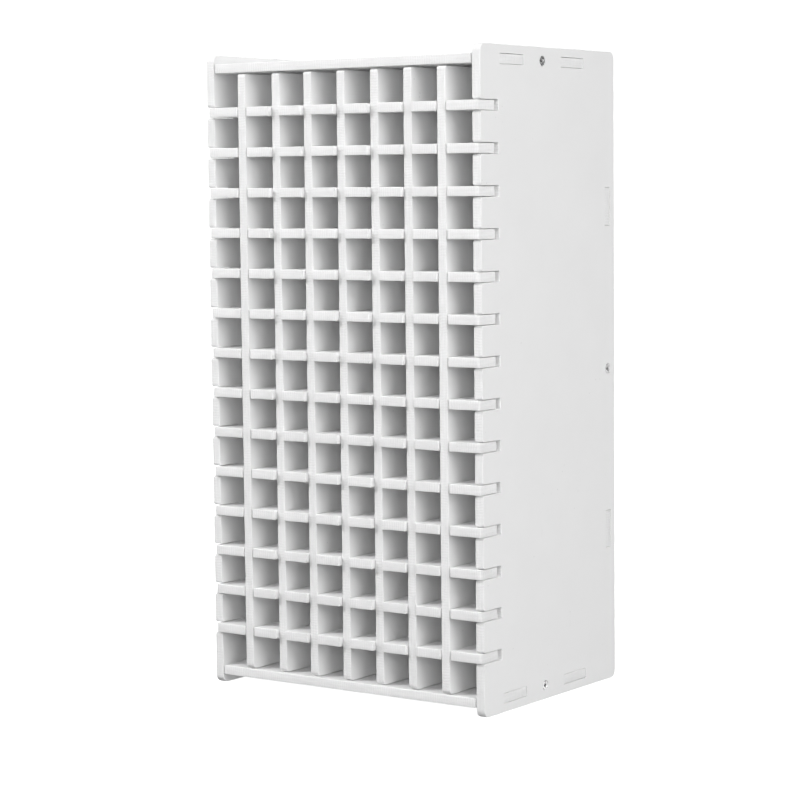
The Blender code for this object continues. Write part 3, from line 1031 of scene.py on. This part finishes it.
def add_floor(stage):
    """A level floor: a grid over the two parameters across and back, at the height of the rack's foot."""
    steps = np.linspace(-stage.floor_size, stage.floor_size, FLOOR_POINTS)
    across, back = np.meshgrid(steps, steps, indexing="ij")
    points = np.stack([across, back, np.full_like(across, cad_low.z)], axis=-1).reshape(-1, 3)
    grid = np.arange(len(points)).reshape(across.shape)
    corners = [grid[:-1, :-1], grid[1:, :-1], grid[1:, 1:], grid[:-1, 1:]]
    faces = np.stack(corners, axis=-1).reshape(-1, 4)
    mesh = bpy.data.meshes.new("floor")
    mesh.from_pydata(points.tolist(), [], faces.tolist())
    mesh.materials.append(floor_finish(stage))
    floor = placed("floor", mesh)
    floor.visible_diffuse = False


def add_light(name, place, target, side, watts):
    """A soft white square of light, turned towards the target."""
    light = bpy.data.lights.new(name, "AREA")
    light.shape = "SQUARE"
    light.size = side
    light.energy = watts
    obj = bpy.data.objects.new(name, light)
    obj.location = place
    obj.rotation_euler = (Vector(target) - Vector(place)).to_track_quat("-Z", "Y").to_euler()
    bpy.context.scene.collection.objects.link(obj)


def add_sky(stage):
    """An even pale room: one brightness above the horizon, another below it, and a short blend between."""
    world = bpy.data.worlds.new("pale room")
    world.use_nodes = True
    bpy.context.scene.world = world
    tree = world.node_tree
    coordinates = tree.nodes.new("ShaderNodeTexCoord")
    split = tree.nodes.new("ShaderNodeSeparateXYZ")
    blend = tree.nodes.new("ShaderNodeMapRange")
    blend.inputs["From Min"].default_value = -HORIZON_BLEND
    blend.inputs["From Max"].default_value = HORIZON_BLEND
    blend.inputs["To Min"].default_value = stage.sky_below
    blend.inputs["To Max"].default_value = stage.sky_above
    tree.links.new(coordinates.outputs["Generated"], split.inputs["Vector"])
    tree.links.new(split.outputs["Z"], blend.inputs["Value"])
    tree.links.new(blend.outputs["Result"], tree.nodes["Background"].inputs["Strength"])
    tree.nodes["Background"].inputs["Color"].default_value = (1.0, 1.0, 1.0, 1.0)


def add_backdrop(stage):
    """A white dome far behind everything: a half sphere over the two parameters turn and height angle. It
    lights nothing, and only stands behind the rack."""
    turns = np.linspace(0, 2 * math.pi, DOME_TURNS + 1)[:-1]
    turn, rise = np.meshgrid(turns, np.linspace(DOME_LOW, DOME_HIGH, DOME_RISES), indexing="ij")
    radius = stage.floor_size * DOME_SHARE
    points = radius * np.stack(
        [np.cos(turn) * np.cos(rise), np.sin(turn) * np.cos(rise), np.sin(rise)], axis=-1
    ).reshape(-1, 3)
    grid = np.arange(len(points)).reshape(turn.shape)
    ahead = np.roll(grid, -1, axis=0)
    faces = np.stack([grid[:, :-1], grid[:, 1:], ahead[:, 1:], ahead[:, :-1]], axis=-1).reshape(-1, 4)
    mesh = bpy.data.meshes.new("backdrop")
    mesh.from_pydata(points.tolist(), [], faces.tolist() + [grid[::-1, -1].tolist()])
    paint = Paint("white backdrop")
    paint.feed(paint.shader.inputs["Emission Color"], (1.0, 1.0, 1.0))
    paint.shader.inputs["Emission Strength"].default_value = 1.0
    mesh.materials.append(paint.material)
    dome = placed("backdrop", mesh)
    dome.visible_diffuse = False
    dome.visible_glossy = False
    dome.visible_shadow = False


def add_camera(stage):
    """A camera that looks at the aim point from the azimuth and elevation, tilted by the roll."""
    turn, rise = stage.azimuth, stage.elevation
    back = Vector((math.sin(turn) * math.cos(rise), -math.cos(turn) * math.cos(rise), math.sin(rise)))
    right = Vector((math.cos(turn), math.sin(turn), 0.0))
    axes = Matrix((right, back.cross(right), back)).transposed().to_4x4()
    aim = Vector((stage.aim_right, stage.aim_back, stage.aim_up))
    data = bpy.data.cameras.new("camera")
    data.lens = stage.lens
    camera = bpy.data.objects.new("camera", data)
    camera.matrix_world = (
        Matrix.Translation(aim + back * stage.distance) @ axes @ Matrix.Rotation(stage.roll, 4, "Z")
    )
    bpy.context.scene.collection.objects.link(camera)
    bpy.context.scene.camera = camera


class RACK_OT_stage(bpy.types.Operator):
    """Set up the pale floor, the soft lights and the camera"""

    bl_idname = "rack.stage"
    bl_label = "Stage"

    def execute(self, context):
        stage = context.scene.rack_stage
        context.scene.view_settings.view_transform = "Standard"
        add_floor(stage)
        add_backdrop(stage)
        add_sky(stage)
        centre = (cad_low + cad_high) / 2
        for word, place, side in LIGHTS:
            add_light(f"{word} light", place, centre, side, getattr(stage, f"{word}_power"))
        add_camera(stage)
        return {"FINISHED"}


class RACK_PT_sidebar(bpy.types.Panel):
    """Lists the rack's steps"""

    bl_label = "Slotted bench rack"
    bl_space_type = "VIEW_3D"
    bl_region_type = "UI"
    bl_category = "Rack"

    def draw(self, context):
        for operator in OPERATORS:
            self.layout.operator(operator.bl_idname)
        for name, group in GROUPS:
            box = self.layout.box()
            for key in group.__annotations__:
                box.prop(getattr(context.scene, name), key)


GROUPS = (
    ("rack_joinery", RackJoinery),
    ("rack_cutting", RackCutting),
    ("rack_screws", RackScrews),
    ("rack_finish", RackFinish),
    ("rack_stage", RackStage),
)
OPERATORS = (
    RACK_OT_side_panels,
    RACK_OT_end_boards,
    RACK_OT_back_panel,
    RACK_OT_shelves,
    RACK_OT_dividers,
    RACK_OT_screws,
    RACK_OT_stage,
)


def register():
    """Makes the settings, the steps and the panel known."""
    for name, group in GROUPS:
        bpy.utils.register_class(group)
        setattr(bpy.types.Scene, name, PointerProperty(type=group))
    for operator in OPERATORS:
        bpy.utils.register_class(operator)
    bpy.utils.register_class(RACK_PT_sidebar)


def unregister():
    """Takes back what register made known."""
    bpy.utils.unregister_class(RACK_PT_sidebar)
    for operator in reversed(OPERATORS):
        bpy.utils.unregister_class(operator)
    for name, group in reversed(GROUPS):
        delattr(bpy.types.Scene, name)
        bpy.utils.unregister_class(group)


def main():
    """Makes every piece and the stage in order."""
    register()
    bpy.ops.rack.side_panels()
    bpy.ops.rack.end_boards()
    bpy.ops.rack.back_panel()
    bpy.ops.rack.shelves()
    bpy.ops.rack.dividers()
    bpy.ops.rack.screws()
    bpy.ops.rack.stage()


if __name__ == "__main__":
    main()
